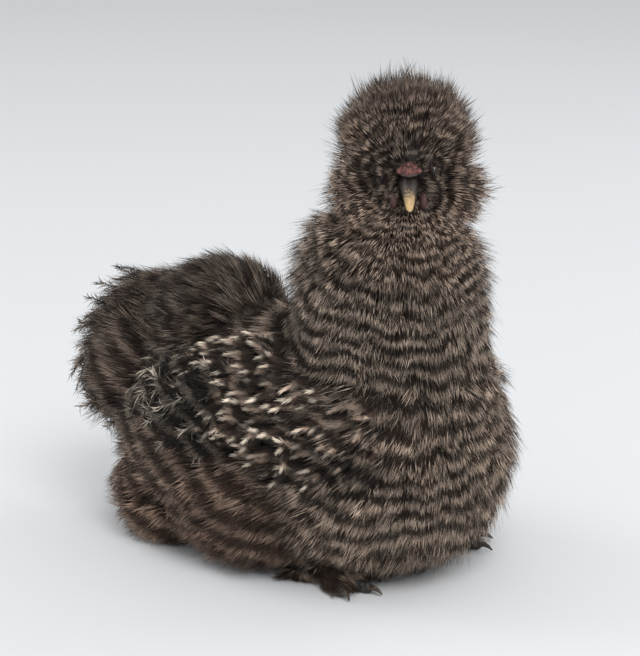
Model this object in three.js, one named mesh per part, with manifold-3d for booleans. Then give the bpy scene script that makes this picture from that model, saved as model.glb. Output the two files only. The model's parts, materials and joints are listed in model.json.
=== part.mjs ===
// A silkie chicken in cuckoo plumage, life size, low in its own fluff, with its head turned to its right.
// Millimetres, +Z up. The bird looks along -Y, its left side is at +X, and the floor is z = 0.
// The origin is on the floor, in the middle of the flat that the belly rests on.
import * as THREE from "three";
import { mergeVertices } from "three/addons/utils/BufferGeometryUtils.js";
import Module from "manifold-3d";

const wasm = await Module();
wasm.setup();

// The gap between neighbouring nodes, and how far a lock's root is sunk along its own line.
const GAP = 0.45;
const ROOT_SINK = 11;

// The torso under its coat: an egg from breast to vent, whose underside is pressed flat by the floor.
const TORSO = {
  front: 121,
  back: -108,
  centre: [78, 62],
  half: [78, 72],
  rise: [76, 66],
  fall: [82, 68],
  fullness: 0.74,
};
const SADDLE = { at: [0, 49, 122], half: [43, 32, 39] };
const ABDOMEN = { at: [0, 64, 32], half: [61, 48, 44] };

// The neck: an egg standing in the torso and reaching into the head.
const NECK = {
  bottom: 92,
  top: 208,
  forward: [58, 72],
  half: [64, 38],
  depth: [55, 36],
  fullness: 0.28,
};

// The head's own frame sits at the middle of the skull. It is turned to the right and bowed a little.
const HEAD = {
  forward: 82,
  right: 13,
  height: 238,
  turn: THREE.MathUtils.degToRad(55),
  bow: THREE.MathUtils.degToRad(10),
};
const SKULL = { at: [0, 0, 0], half: [15, 22, 17] };
const CREST = { at: [0, 14, 7], half: [29, 28, 28] };
const CHEEK = { at: [21, 6, -15], half: [13, 17, 15] };
const BEARD = { at: [0, -10, -32], half: [26, 20, 20] };
const EYE = { at: [13.5, -10, 1.5], radius: 4.6, lid: 1.1 };

// The hollows in the fluff that the beak, the comb and each eye look out of.
const FACE_HOLLOW = { at: [0, -38, 0], half: [16, 24, 15] };
const EYE_HOLLOW = { at: [17, -24, 2], half: [8, 18, 7.5] };

// The walnut comb, the wattles and the beak, in the head's frame.
const COMB = { at: [0, -21.5, 6.5], half: [6, 4.6, 4], knobs: 5, knob: 2 };
const WATTLE = { at: [8, -21, -11.5], half: [2.2, 3.6, 5] };
const BEAK = {
  base: [0, -14, -2],
  tip: [0, -42, -10.5],
  half: 6.4,
  rise: 6.2,
  fall: 5.2,
  hook: 1.8,
  lowerReach: 0.84,
  nostril: [4.6, -24.5, -0.5],
  nostrilHalf: [1.6, 1.7, 0.8],
};

// The tail cushion and the two thighs, under their coats.
const TAIL = { forward: -90, height: 100, half: [46, 47, 48] };
const THIGH = { side: 56, forward: 0, height: 50, half: [22, 46, 40] };

// The folded wing: a shell laid on the torso's side, from the shoulder to the tip. Angles go up from level.
const WING = {
  shoulder: 98,
  tip: -46,
  middle: [32, 38],
  chord: [31, 20],
  thickness: 8,
  inset: 2.5,
};

// The leg lies folded under the body, with the toes just in front of it.
const LEG = {
  hock: [42, 8, 22],
  ankle: [46, 62, 11],
  shank: 6,
  heel: 7,
  toe: 4.2,
};
// The right foot stands this far behind the left.
const STAGGER = 15;
// Each toe: its heading out from straight ahead in degrees, its length, and how much thinner it is.
const TOES = [
  { heading: -24, length: 26, slim: 0.95 },
  { heading: 2, length: 34, slim: 1 },
  { heading: 30, length: 29, slim: 0.95 },
  { heading: 158, length: 17, slim: 0.85 },
  { heading: 196, length: 20, slim: 0.8 },
];
const CLAW = { length: 9, half: 2 };
const FOOT_TUFTS = [
  { ahead: -4, out: 4, length: 17, heading: 34 },
  { ahead: 4, out: 7, length: 19, heading: 48 },
  { ahead: -8, out: 1, length: 16, heading: 8 },
];

// The flight feathers: where each one leaves the wing, how long it is, and how steeply it hangs.
const FLIGHT = [
  { along: 0.62, angle: 3.5, length: 46, down: 0.5 },
  { along: 0.74, angle: 3.15, length: 48, down: 0.38 },
  { along: 0.85, angle: 2.6, length: 46, down: 0.24 },
  { along: 0.9, angle: 2.0, length: 44, down: 0.14 },
  { along: 0.92, angle: 1.2, length: 40, down: 0.04 },
];

const at = ([x, y, z]) => new THREE.Vector3(x, y, z);
const { lerp, degToRad, clamp } = THREE.MathUtils;

// A row of numbers between 0 and 1, the same in every run.
function seeded(seed) {
  let state = seed;
  return () => {
    state = (Math.imul(state, 1664525) + 1013904223) >>> 0;
    return state / 4294967296;
  };
}

// A closed geometry from rings of points: each end is closed with a fan to its own middle point.
function closedRings(rings, startPoint, endPoint) {
  const around = rings[0].length;
  const points = [startPoint, ...rings.flat(), endPoint];
  const last = points.length - 1;
  const index = [];
  for (let k = 0; k < around; k++) {
    const next = (k + 1) % around;
    index.push(0, 1 + next, 1 + k);
    for (let r = 0; r < rings.length - 1; r++) {
      const a = 1 + r * around + k;
      const b = 1 + r * around + next;
      index.push(a, b, a + around, b, b + around, a + around);
    }
    const edge = 1 + (rings.length - 1) * around;
    index.push(edge + k, edge + next, last);
  }
  const geometry = new THREE.BufferGeometry().setFromPoints(points);
  geometry.setIndex(index);
  return geometry;
}

// A closed skin over form(u, v): u runs from pole to pole and v once round.
function skin(form, along, around) {
  const rings = [];
  for (let i = 1; i < along; i++) {
    const ring = [];
    for (let k = 0; k < around; k++) {
      ring.push(form(i / along, (k / around) * 2 * Math.PI));
    }
    rings.push(ring);
  }
  return closedRings(rings, form(0, 0), form(1, 0));
}

// The torso's surface, from the breast at u = 0 to the vent at u = 1. v = 0 is its left and a quarter turn its back.
function torsoForm(u, v) {
  const middle = (TORSO.front + TORSO.back) / 2;
  const semi = (TORSO.front - TORSO.back) / 2;
  const forward = middle + semi * Math.cos(Math.PI * u);
  const share = clamp((TORSO.front - forward) / (TORSO.front - TORSO.back), 0, 1);
  const swell = Math.pow(Math.sin(Math.PI * u), TORSO.fullness);
  const reach = Math.sin(v) > 0 ? TORSO.rise : TORSO.fall;
  return at([
    lerp(...TORSO.half, share) * swell * Math.cos(v),
    -forward,
    lerp(...TORSO.centre, share) + lerp(...reach, share) * swell * Math.sin(v),
  ]);
}

function neckForm(u, v) {
  const semi = (NECK.top - NECK.bottom) / 2;
  const height = (NECK.top + NECK.bottom) / 2 - semi * Math.cos(Math.PI * u);
  const share = clamp((height - NECK.bottom) / (NECK.top - NECK.bottom), 0, 1);
  const swell = Math.pow(Math.sin(Math.PI * u), NECK.fullness);
  return at([
    lerp(...NECK.half, share) * swell * Math.cos(v) - HEAD.right * share * share,
    -lerp(...NECK.forward, share) + lerp(...NECK.depth, share) * swell * Math.sin(v),
    height,
  ]);
}

// An ellipsoid round a point, with its poles along Y.
const ball = (centre, half) => (u, v) =>
  at([
    centre[0] + half[0] * Math.sin(Math.PI * u) * Math.cos(v),
    centre[1] - half[1] * Math.cos(Math.PI * u),
    centre[2] + half[2] * Math.sin(Math.PI * u) * Math.sin(v),
  ]);

const mirrored = ([x, y, z], side) => [x * side, y, z];
const tailForm = ball([0, -TAIL.forward, TAIL.height], TAIL.half);
const thighForm = (side) =>
  ball([side * THIGH.side, -THIGH.forward, THIGH.height], THIGH.half);

// The outward normal of a form, from two short steps on it.
function normalOf(form, u, v) {
  const step = 0.004;
  const low = clamp(u - step, 0.001, 0.999);
  const high = clamp(u + step, 0.001, 0.999);
  const inside = clamp(u, 0.02, 0.98);
  const alongIt = form(high, v).sub(form(low, v));
  const roundIt = form(inside, v + step).sub(form(inside, v - step));
  const normal = roundIt.cross(alongIt).normalize();
  const outward = form(inside, v).sub(form(inside, v + Math.PI));
  return normal.dot(outward) < 0 ? normal.negate() : normal;
}

// The wing's shell, on the left for side = 1. u runs from the shoulder to the tip, v round the chord.
const wingForm = (side) => (u, v) => {
  const share = (1 - Math.cos(Math.PI * u)) / 2;
  const forward = lerp(WING.shoulder, WING.tip, share);
  const swell = Math.pow(Math.sin(Math.PI * u), 0.6);
  const chord = degToRad(lerp(...WING.chord, share)) * swell;
  const angle = degToRad(lerp(...WING.middle, share)) + chord * Math.cos(v);
  const middle = (TORSO.front + TORSO.back) / 2;
  const semi = (TORSO.front - TORSO.back) / 2;
  const torsoU = Math.acos(clamp((forward - middle) / semi, -1, 1)) / Math.PI;
  const depth = Math.sin(v) > 0 ? WING.thickness : WING.inset;
  const lift = depth * Math.sin(v) * swell;
  const point = torsoForm(torsoU, angle).addScaledVector(normalOf(torsoForm, torsoU, angle), lift);
  point.x *= side;
  return point;
};

// A flat, tapered lock with a raised rib. It leaves the surface at an angle, bends over and ends in a point.
const LOCK_STATIONS = [0, 0.44, 0.78];
const LOCK_WIDTHS = [0.4, 1, 0.62];
function lockGeometry({ root, normal, lie, length, width, lift, bend, droop, sink = ROOT_SINK }) {
  const thickness = 0.17 * width;
  const whole = length + sink;
  const heading = (t) =>
    lie.clone()
      .multiplyScalar(Math.cos(lift - bend * t))
      .addScaledVector(normal, Math.sin(lift - bend * t))
      .add(at([0, 0, -droop * t]))
      .normalize();
  const side = new THREE.Vector3().crossVectors(normal, lie).normalize();
  const centre = root.clone().addScaledVector(heading(0), -sink);
  const rings = [];
  let before = 0;
  for (let i = 0; i < LOCK_STATIONS.length; i++) {
    const t = LOCK_STATIONS[i];
    centre.addScaledVector(heading((t + before) / 2), (t - before) * whole);
    before = t;
    const up = new THREE.Vector3().crossVectors(heading(t), side).normalize();
    const half = (width / 2) * LOCK_WIDTHS[i];
    rings.push([
      centre.clone().addScaledVector(side, -half),
      centre.clone().addScaledVector(side, half),
      centre.clone().addScaledVector(up, thickness * LOCK_WIDTHS[i]),
    ]);
  }
  const tip = centre.clone().addScaledVector(heading(0.95), (1 - before) * whole);
  return closedRings(rings, rings[0][0].clone().add(rings[0][1]).add(rings[0][2]).divideScalar(3), tip);
}

// Roots of a coat: rows across a form, evenly spaced, each shifted by half a step from the last, where keep() allows.
function roots(form, spacing, random, keep) {
  const found = [];
  const steps = 60;
  let row = 0;
  let travelled = spacing.first;
  for (let i = 1; i <= steps; i++) {
    const u = i / steps;
    travelled += form(u, 0.7).distanceTo(form(u - 1 / steps, 0.7));
    if (travelled < spacing.along || u > 0.98) continue;
    travelled -= spacing.along;
    let girth = 0;
    for (let k = 0; k < 24; k++) {
      girth += form(u, (k / 12) * Math.PI).distanceTo(form(u, ((k + 1) / 12) * Math.PI));
    }
    const count = Math.max(3, Math.round(girth / spacing.around));
    for (let k = 0; k < count; k++) {
      const jitter = (random() - 0.5) * 0.3;
      const v = ((k + jitter + row * 0.5) / count) * 2 * Math.PI;
      const root = form(u, v);
      const normal = normalOf(form, u, v);
      if (keep(root, normal)) found.push({ root, normal });
    }
    row += 1;
  }
  return found;
}

// A direction laid flat on the surface with this normal.
const flatOn = (normal, direction) =>
  direction.clone().addScaledVector(normal, -direction.dot(normal)).normalize();

// A geometry as a solid, merged on position alone. Faces that all look inwards are turned round.
function solid(geometry) {
  const bare = geometry.index ? geometry.toNonIndexed() : geometry.clone();
  bare.deleteAttribute("normal");
  bare.deleteAttribute("uv");
  const merged = mergeVertices(bare, 1e-4);
  const close = (triVerts) =>
    new wasm.Manifold(
      new wasm.Mesh({ numProp: 3, vertProperties: merged.attributes.position.array, triVerts }),
    );
  const faces = new Uint32Array(merged.index.array);
  const made = close(faces);
  return made.volume() < 0 ? close(faces.reverse()) : made;
}

// The head's frame in the bird's frame.
const headFrame = new THREE.Group();
headFrame.position.set(-HEAD.right, -HEAD.forward, HEAD.height);
headFrame.rotation.set(HEAD.bow, 0, -HEAD.turn, "ZYX");
headFrame.updateMatrixWorld(true);
const onHead = (geometry) => geometry.applyMatrix4(headFrame.matrixWorld);

// A round rod through points, each with its own radius, closed at both ends.
function rod(points, radii, sides) {
  const rings = points.map((point, i) => {
    const ahead = points[Math.min(i + 1, points.length - 1)];
    const behind = points[Math.max(i - 1, 0)];
    const along = ahead.clone().sub(behind).normalize();
    const across = new THREE.Vector3().crossVectors(along, at([0.31, 0.17, 0.93])).normalize();
    const up = new THREE.Vector3().crossVectors(across, along);
    return Array.from({ length: sides }, (_, k) => {
      const angle = (k / sides) * 2 * Math.PI;
      return point.clone()
        .addScaledVector(across, radii[i] * Math.cos(angle))
        .addScaledVector(up, radii[i] * Math.sin(angle));
    });
  });
  const first = points[0].clone().sub(points[1]).setLength(radii[0] * 0.5).add(points[0]);
  const end = points.length - 1;
  const last = points[end].clone().sub(points[end - 1]).setLength(radii[end] * 0.8).add(points[end]);
  return closedRings(rings, first, last);
}

// The whole bill along its own line: u runs from the base in the skull to the tip, where the upper half hooks.
function billForm(u, v) {
  const base = at(BEAK.base);
  const reach = at(BEAK.tip).sub(base);
  const swell = Math.pow(1 - u, 0.62) * Math.min(1, Math.pow(u / 0.16, 0.5));
  const middle = base.addScaledVector(reach, u);
  const vertical = Math.sin(v) > 0 ? BEAK.rise : BEAK.fall;
  middle.x += BEAK.half * Math.pow(swell, 1.1) * Math.cos(v);
  middle.z += vertical * swell * Math.sin(v);
  middle.z += 2.4 * Math.sin(Math.PI * u) - BEAK.hook * u * u;
  return middle;
}

// The mouth line is a thin cut through the bill, along its own line, in the head's frame.
function cutBill(upper) {
  const base = at(BEAK.base);
  const reach = at(BEAK.tip).sub(base);
  const normal = at([0, reach.z, -reach.y]).normalize();
  const level = normal.dot(base) - 0.4;
  const bill = solid(skin(billForm, 7, 10));
  if (upper) return bill.trimByPlane(normal.toArray(), level + GAP / 2);
  const lower = bill.trimByPlane(normal.clone().negate().toArray(), GAP / 2 - level);
  const back = reach.clone().normalize().negate();
  const end = back.dot(base.clone().addScaledVector(reach, BEAK.lowerReach));
  return lower.trimByPlane(back.toArray(), end);
}

// A solid with each face moved out by this much. A corner moves along the way that serves its faces best.
function swollen(body, distance) {
  const { vertProperties, triVerts } = body.getMesh();
  const corner = (i) => new THREE.Vector3().fromArray(vertProperties, 3 * i);
  const faces = Array.from({ length: vertProperties.length / 3 }, () => []);
  for (let t = 0; t < triVerts.length; t += 3) {
    const [a, b, c] = [0, 1, 2].map((k) => corner(triVerts[t + k]));
    const normal = b.sub(a).cross(c.sub(a));
    if (normal.length() < 1e-6) continue;
    normal.normalize();
    for (let k = 0; k < 3; k++) faces[triVerts[t + k]].push(normal);
  }
  const moved = new Float32Array(vertProperties.length);
  faces.forEach((normals, i) => {
    const way = normals.reduce((sum, normal) => sum.add(normal), new THREE.Vector3()).normalize();
    let least = 1;
    for (let round = 1; round < 60; round++) {
      const worst = normals.reduce((low, normal) => (normal.dot(way) < low.dot(way) ? normal : low), way);
      least = worst.dot(way);
      way.addScaledVector(worst, (1 - least) / (2 + 0.2 * round)).normalize();
    }
    corner(i).addScaledVector(way, distance / Math.max(least, 0.3)).toArray(moved, 3 * i);
  });
  const numProp = 3;
  return new wasm.Manifold(new wasm.Mesh({ numProp, vertProperties: moved, triVerts }));
}

// Joins pieces into one solid, each swollen by this much first.
const joined = (pieces, distance = 0) =>
  wasm.Manifold.union(
    pieces.map((piece) => {
      const body = piece.isBufferGeometry ? solid(piece) : piece;
      return distance ? swollen(body, distance) : body;
    }),
  );

// Whether a root lies in or under one of these solids, where no lock is set.
const PROBE = new THREE.OctahedronGeometry(3);
function covered(point, normal, solids) {
  const spot = point.clone().addScaledVector(normal, 2);
  const probe = solid(PROBE.clone()).translate(spot.toArray());
  return solids.some((other) => other.intersect(probe).volume() > 0.5);
}

// A coat of locks on a form. lie(root) is the way the coat runs there, and each lock differs a little.
function coat(form, { spacing, seed, lie, lock, keep }) {
  const random = seeded(seed);
  return roots(form, spacing, random, keep).map(({ root, normal }) => {
    const stretch = 0.88 + 0.24 * random();
    const sway = (random() - 0.5) * 0.35;
    const way = flatOn(normal, lie(root)).applyAxisAngle(normal, sway);
    return lockGeometry({ ...lock, root, normal, lie: way, length: lock.length * stretch });
  });
}

// The cores, which are the plain forms of the bird.
const headMatrix = headFrame.matrixWorld;
const headBall = ({ at: centre, half }, side = 1, along = 6, around = 9) =>
  onHead(skin(ball(mirrored(centre, side), half), along, around));
const lid = (side) => {
  const ring = new THREE.TorusGeometry(EYE.radius + 0.2, EYE.lid, 4, 10);
  ring.deleteAttribute("normal");
  ring.deleteAttribute("uv");
  ring.rotateY(side * degToRad(72)).translate(...mirrored(EYE.at, side));
  return onHead(ring);
};
const headCore = [
  headBall(SKULL),
  headBall(CREST, 1, 8, 12),
  headBall(CHEEK, 1),
  headBall(CHEEK, -1),
  headBall(BEARD),
];
const faceHollows = [headBall(FACE_HOLLOW), headBall(EYE_HOLLOW, 1), headBall(EYE_HOLLOW, -1)];
const neckCore = [skin(neckForm, 8, 13)];
const bodyBall = ({ at: centre, half }) => skin(ball(centre, half), 7, 11);
const torsoCore = [skin(torsoForm, 11, 15), bodyBall(SADDLE), bodyBall(ABDOMEN)];
const tailCore = [skin(tailForm, 8, 11)];
const wingCore = (side) => [skin(wingForm(side), 9, 10)];
const thighCore = (side) => [skin(thighForm(side), 7, 11)];

// The leg: a shank low under the belly, and toes that leave the ankle and flatten on the floor.
const legPoint = ([across, forward, up], side) =>
  at([side * across, -forward + (side < 0 ? STAGGER : 0), up]);
function toeLine(side, { heading, length, slim }) {
  const start = legPoint(LEG.ankle, side);
  const turn = side * degToRad(heading);
  const ahead = at([Math.sin(turn), -Math.cos(turn), 0]);
  const radius = LEG.toe * slim;
  const line = [0, 0.36, 0.7, 1].map((t) => {
    const point = start.clone().addScaledVector(ahead, t * length);
    point.z = lerp(LEG.ankle[2] - 2, radius * 0.8, Math.min(1, t * 1.7));
    return point;
  });
  return { line, ahead, radius };
}
const legPieces = (side) => {
  const hock = legPoint(LEG.hock, side);
  const ankle = legPoint(LEG.ankle, side);
  const middle = hock.clone().lerp(ankle, 0.5);
  return [
    rod([hock, middle, ankle], [LEG.heel, LEG.shank, LEG.shank + 0.6], 6),
    ...TOES.map((toe) => {
      const { line, radius } = toeLine(side, toe);
      return rod(line, [radius * 1.2, radius * 1.1, radius, radius * 0.72], 5);
    }),
  ];
};
const clawPiece = (side, toe) => {
  const { line, ahead, radius } = toeLine(side, toe);
  const start = line.at(-1).clone().addScaledVector(ahead, radius * 0.1);
  const curve = [0, 0.4, 0.75, 1].map((t) => {
    const point = start.clone().addScaledVector(ahead, t * CLAW.length);
    point.z += 1.4 * Math.sin(Math.PI * t) - 1.6 * t * t;
    return point;
  });
  return rod(curve, [CLAW.half, CLAW.half * 0.85, CLAW.half * 0.55, CLAW.half * 0.2], 5);
};

// The small hard or bare pieces of the head.
const eyePiece = (side) =>
  onHead(new THREE.SphereGeometry(EYE.radius, 10, 7).translate(...mirrored(EYE.at, side)));
const wattlePiece = (side) => headBall(WATTLE, side, 6, 8);
const combPieces = [
  headBall(COMB, 1, 5, 8),
  ...Array.from({ length: COMB.knobs }, (_, k) => {
    const angle = (k / (COMB.knobs - 1)) * Math.PI;
    const spread = k % 2 ? 0.55 : 0.86;
    const [x, y, z] = COMB.at;
    const knob = ball(
      [x + COMB.half[0] * spread * Math.cos(angle), y - 1.4, z + COMB.half[2] * spread * Math.sin(angle)],
      [COMB.knob, COMB.knob, COMB.knob],
    );
    return onHead(skin(knob, 4, 5));
  }),
];
const beakUpper = [cutBill(true).transform(headMatrix.elements)];
const beakLower = [cutBill(false).transform(headMatrix.elements)];
const nostrils = [1, -1].map((side) =>
  onHead(skin(ball(mirrored(BEAK.nostril, side), BEAK.nostrilHalf), 6, 8)),
);

// The nodes from the top layer down. Each is cut clear of all the nodes before it, by the gap.
const layers = [];
function layer(name, pieces, material, holes = []) {
  layers.push({ name, pieces, material, holes });
}
const MATERIALS = {
  horn: [0xc9a45c, 0.45],
  comb: [0x7a3430, 0.6],
  eye: [0x0c0a09, 0.08],
  plumage: [0x4a423d, 0.95],
  tail: [0x37302c, 0.95],
  wing: [0x5c5049, 0.95],
  leg: [0x26221f, 0.7],
  claw: [0x4a3a2a, 0.4],
};

// Which way each coat runs, as a direction in the bird's frame.
const faceCentre = at(BEAK.base).applyMatrix4(headMatrix);
const fromFace = (root) => root.clone().sub(faceCentre);
const backward = (down) => () => at([0, 1, -down]);

// Roots near the beak, the comb, the eyes and the floor carry no lock.
const clearOfFace = (root, normal) => {
  const spot = root.clone().addScaledVector(normal, 4).applyMatrix4(headMatrix.clone().invert());
  const near = (hollow, side, room) => {
    const middle = at(mirrored(hollow.at, side));
    const share = spot.clone().sub(middle).divide(at(hollow.half).addScalar(room));
    return share.length() < 1;
  };
  return !near(FACE_HOLLOW, 1, 3) && !near(EYE_HOLLOW, 1, 2) && !near(EYE_HOLLOW, -1, 2);
};

const DOWN = { length: 34, width: 21, lift: degToRad(30), bend: degToRad(24), droop: 0.2 };
const onHeadForm = ({ at: centre, half }, side = 1) => (u, v) =>
  ball(mirrored(centre, side), half)(u, v).applyMatrix4(headMatrix);

// The crest stands almost straight up out of the skull, and the beard and the muffs fan away from the beak.
const crestCoat = () =>
  coat(onHeadForm(CREST), {
    spacing: { along: 19, around: 21, first: 6 },
    seed: 11,
    keep: (root, normal) => clearOfFace(root, normal) && root.z > faceCentre.z - 18,
    lie: fromFace,
    lock: { length: 22, width: 20, lift: degToRad(62), bend: degToRad(30), droop: 0.15, sink: 9 },
  });
const beardCoat = () =>
  coat(onHeadForm(BEARD), {
    spacing: { along: 16, around: 18, first: 5 },
    seed: 12,
    keep: (root, normal) => clearOfFace(root, normal) && normal.z < 0.75,
    lie: fromFace,
    lock: { length: 19, width: 16, lift: degToRad(34), bend: degToRad(20), droop: 0.1, sink: 9 },
  });
const muffCoat = (side) =>
  coat(onHeadForm(CHEEK, side), {
    spacing: { along: 14, around: 17, first: 12 },
    seed: 13 + side,
    keep: (root, normal) =>
      clearOfFace(root, normal) && normal.dot(at([side, 0, -0.2]).transformDirection(headMatrix)) > 0.1,
    lie: fromFace,
    lock: { length: 19, width: 16, lift: degToRad(42), bend: degToRad(22), droop: 0.1, sink: 9 },
  });

// Each core with part of its coat's depth, under which a neighbour grows no locks.
const headSolid = joined(headCore, 7);
const neckSolid = joined(neckCore, 9);
const torsoSolid = joined(torsoCore, 5);
const wingSolids = [1, -1].map((side) => joined(wingCore(side), 8));
const thighSolids = [1, -1].map((side) => joined(thighCore(side), 5));
const tailSolid = joined(tailCore, 5);
const bare = (solids, low = 6) => (root, normal) => root.z > low && !covered(root, normal, solids);

const neckCoat = () =>
  coat(neckForm, {
    spacing: { along: 27, around: 27, first: 18 },
    seed: 21,
    keep: (root, normal) => normal.z < 0.9 && bare([headSolid])(root, normal) && root.z > 118,
    lie: () => at([0, 0, -1]),
    lock: { ...DOWN, length: 39, width: 26 },
  });
const bodyForms = [
  { form: torsoForm, others: 0, spacing: { along: 32, around: 35, first: 2 } },
  { form: ball(SADDLE.at, SADDLE.half), others: 1, spacing: { along: 27, around: 29, first: 8 } },
  { form: ball(ABDOMEN.at, ABDOMEN.half), others: 2, spacing: { along: 27, around: 30, first: 8 } },
];
const torsoPieces = torsoCore.map((piece) => joined([piece]));
const frontness = (root) => clamp((-root.y - 20) / 90, 0, 1);
const torsoCoat = () =>
  bodyForms.flatMap(({ form, others, spacing }, k) =>
    coat(form, {
      spacing,
      seed: 31 + k,
      keep: bare([
        ...torsoPieces.filter((_, i) => i !== others),
        neckSolid,
        ...wingSolids,
        ...thighSolids,
        tailSolid,
      ]),
      lie: (root) => at([0, 1, -0.3 - 2.2 * frontness(root) ** 2 - (root.z < 50 ? 0.3 : 0)]),
      lock: { ...DOWN, length: 41, width: 32, droop: 0.1 },
    }),
  );
const tailCoat = () =>
  coat(tailForm, {
    spacing: { along: 21, around: 25, first: 14 },
    seed: 41,
    keep: bare([torsoSolid]),
    lie: (root) => at([0, 1, 0.9 - 1.9 * clamp((root.y - 60) / 75, 0, 1)]),
    lock: { length: 31, width: 22, lift: degToRad(46), bend: degToRad(34), droop: 0.25, sink: 11 },
  });
const thighCoat = (side) =>
  coat(thighForm(side), {
    spacing: { along: 23, around: 25, first: 12 },
    seed: 51 + side,
    keep: (root, normal) =>
      normal.x * side > 0.15 && bare([torsoSolid, wingSolids[side > 0 ? 0 : 1]])(root, normal),
    lie: backward(0.8),
    lock: { ...DOWN, length: 33, width: 23 },
  });

const VANE = { width: 15, lift: degToRad(10), bend: degToRad(8), droop: 0.1, sink: 16 };
const FOOT_LOCK = { width: 9, lift: degToRad(8), bend: degToRad(22), droop: 0.1, sink: 4 };

// The wing's coverts lie in tiers from the shoulder back, over the shredded flight feathers at its rear edge.
const wingCoat = (side) => [
  ...coat(wingForm(side), {
    spacing: { along: 24, around: 21, first: 10 },
    seed: 61 + side,
    keep: (root, normal) => normal.x * side > 0.2 && bare([neckSolid])(root, normal),
    lie: backward(0.22),
    lock: { length: 34, width: 20, lift: degToRad(20), bend: degToRad(16), droop: 0.1, sink: 4 },
  }),
  ...FLIGHT.map(({ along, angle, length, down }) => {
    const form = wingForm(side);
    const root = form(along, angle);
    const normal = normalOf(form, along, angle).lerp(at([side, 0, 0.2]), 0.7).normalize();
    const lie = flatOn(normal, at([0, 1, -down]));
    return lockGeometry({ ...VANE, root, normal, lie, length });
  }),
];

// A few short feathers run down each foot and over its toes.
const footCoat = (side) =>
  FOOT_TUFTS.map(({ ahead, out, length, heading }) => {
    const [across, forward, up] = LEG.ankle;
    const root = legPoint([across + out, forward + ahead, up + 1], side);
    const turn = side * degToRad(heading);
    const lie = at([Math.sin(turn), -Math.cos(turn), 0]);
    return lockGeometry({ ...FOOT_LOCK, root, normal: at([0, 0, 1]), lie, length });
  });

layer("beak_upper", beakUpper, "horn", nostrils);
layer("beak_lower", beakLower, "horn");
layer("comb", combPieces, "comb");
for (const side of [1, -1]) {
  const word = side > 0 ? "left" : "right";
  layer("eye_" + word, [eyePiece(side)], "eye");
  layer("wattle_" + word, [wattlePiece(side)], "comb");
}
const headCoat = [...crestCoat(), ...beardCoat(), ...muffCoat(1), ...muffCoat(-1)];
layer("head", [...headCore, lid(1), lid(-1), ...headCoat], "plumage", faceHollows);
layer("neck", [...neckCore, ...neckCoat()], "plumage");
for (const side of [1, -1]) {
  const word = side > 0 ? "left" : "right";
  layer("wing_" + word, [...wingCore(side), ...wingCoat(side)], "wing");
  TOES.forEach((toe, i) => layer("claw_" + word + "_" + (i + 1), [clawPiece(side, toe)], "claw"));
  layer("leg_" + word, [...legPieces(side), ...footCoat(side)], "leg");
  layer("thigh_" + word, [...thighCore(side), ...thighCoat(side)], "plumage");
}
layer("torso", [...torsoCore, ...torsoCoat()], "plumage");
layer("tail", [...tailCore, ...tailCoat()], "tail");

// Only the largest closed surface of a node is kept: this fills a sealed hollow and drops a loose scrap.
function largest(body) {
  return body.decompose().reduce((best, one) => (one.volume() > best.volume() ? one : best));
}

// A solid's corners set on a fine grid, without the faces that this closes up or lays back to back. Where an
// edge then has more than two faces, a grid of another size is tried.
const GRIDS = [0.002, 0.003, 0.005, 0.007, 0.0011, 0.0017, 0.011, 0.013, 0.0003, 0.017];
function onGrid(body) {
  const { vertProperties, triVerts } = body.getMesh();
  for (const grid of GRIDS) {
    const numbers = new Map();
    const points = [];
    const place = (i) => {
      const spot = [0, 1, 2].map((k) => Math.round(vertProperties[3 * i + k] / grid));
      const key = spot.join();
      if (!numbers.has(key)) {
        numbers.set(key, points.length);
        points.push(at(spot).multiplyScalar(grid));
      }
      return numbers.get(key);
    };
    const kept = new Map();
    for (let t = 0; t < triVerts.length; t += 3) {
      const face = [place(triVerts[t]), place(triVerts[t + 1]), place(triVerts[t + 2])];
      const key = [...face].sort().join();
      if (new Set(face).size === 3 && !kept.delete(key)) kept.set(key, face);
    }
    const shared = new Map();
    for (const face of kept.values()) {
      face.forEach((a, k) => {
        const edge = [a, face[(k + 1) % 3]].sort().join();
        shared.set(edge, (shared.get(edge) ?? 0) + 1);
      });
    }
    if ([...shared.values()].every((count) => count === 2)) {
      const geometry = new THREE.BufferGeometry().setFromPoints(points);
      geometry.setIndex([...kept.values()].flat());
      return geometry;
    }
  }
  return null;
}

// The geometry of a body's largest closed surface, evened out as far as its edges allow.
function closedGeometry(body) {
  for (const even of [0.12, 0.09, 0.07, 0.05, 0.03, 0.01]) {
    const geometry = onGrid(largest(body.simplify(even)));
    if (geometry) return geometry;
  }
  throw new Error("no grid closes this solid");
}

function meshOf(body, name, material) {
  const [color, roughness] = MATERIALS[material];
  const mesh = new THREE.Mesh(
    closedGeometry(body),
    new THREE.MeshStandardMaterial({ color, roughness, metalness: 0 }),
  );
  mesh.name = name;
  return mesh;
}

const bird = new THREE.Group();
let cutter = null;
for (const { name, pieces, material, holes } of layers) {
  let body = joined(pieces);
  if (holes.length) body = body.subtract(joined(holes));
  if (cutter) body = body.subtract(cutter);
  bird.add(meshOf(body.trimByPlane([0, 0, 1], 0), name, material));
  const room = largest(joined(pieces, GAP));
  cutter = cutter ? cutter.add(room) : room;
}

export default bird;
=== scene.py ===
"""A cuckoo-grey silkie hen, life size, settled over its folded legs.

Lengths are millimetres in the bird's own frame (left, back, up) and become metres as a mesh is filled.
"""

import json
import math

import bpy
import numpy as np
from mathutils import Euler, Matrix, Vector

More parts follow.
